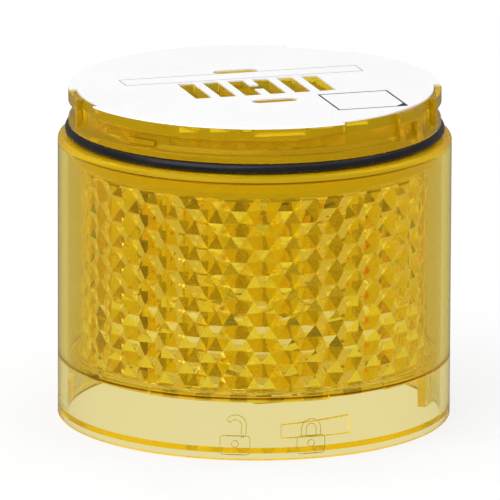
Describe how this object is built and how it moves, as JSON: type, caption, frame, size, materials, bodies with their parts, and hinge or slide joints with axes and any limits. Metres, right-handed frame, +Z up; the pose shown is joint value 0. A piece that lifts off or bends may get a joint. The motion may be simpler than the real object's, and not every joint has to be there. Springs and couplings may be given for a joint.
{
  "type": "signal tower light module",
  "caption": "Clear amber light module of a signal tower: prism lens core that plugs into the next module, in an outer sleeve that twists to lock.",
  "frame": {"origin": "middle of the sleeve's bottom rim, in the plane on which the module stands", "axes": "+Z up along the tower's axis, front of the module faces -Y, the lock marks are on the front of the skirt"},
  "size_m": [0.07, 0.07, 0.0596],
  "materials": {
    "amber_clear": "clear moulded polycarbonate",
    "label_white": "printed film",
    "seal_black": "greased rubber",
    "screw_steel": "zinc plated",
    "carrier_clear": "clear moulded polycarbonate",
    "contact_metal": "tin plated",
    "board_white": "white solder mask",
    "led_case": "moulded"
  },
  "bodies": {
    "core": {"neck_housing": "amber_clear", "label_disc": "label_white", "o_ring": "seal_black", "prism_lens": "amber_clear", "floor_plate": "amber_clear", "floor_screws": "screw_steel", "bus_carrier": "carrier_clear", "bus_strip_1": "contact_metal", "bus_strip_2": "contact_metal", "bus_strip_3": "contact_metal", "bus_strip_4": "contact_metal", "bus_strip_5": "contact_metal", "bus_strip_6": "contact_metal", "contact_spring_1": "contact_metal", "contact_spring_2": "contact_metal", "contact_spring_3": "contact_metal", "contact_spring_4": "contact_metal", "contact_spring_5": "contact_metal", "contact_spring_6": "contact_metal", "led_board": "board_white", "leds_front": "led_case", "leds_right": "led_case", "leds_back": "led_case", "leds_left": "led_case"},
    "sleeve": {"outer_lens": "amber_clear"}
  },
  "joints": [
    {"name": "lock_turn", "type": "hinge", "parent": "core", "child": "sleeve", "pos_m": [0, 0, 0.03], "axis": [0, 0, 1], "range_deg": [0, 20.5]}
  ]
}
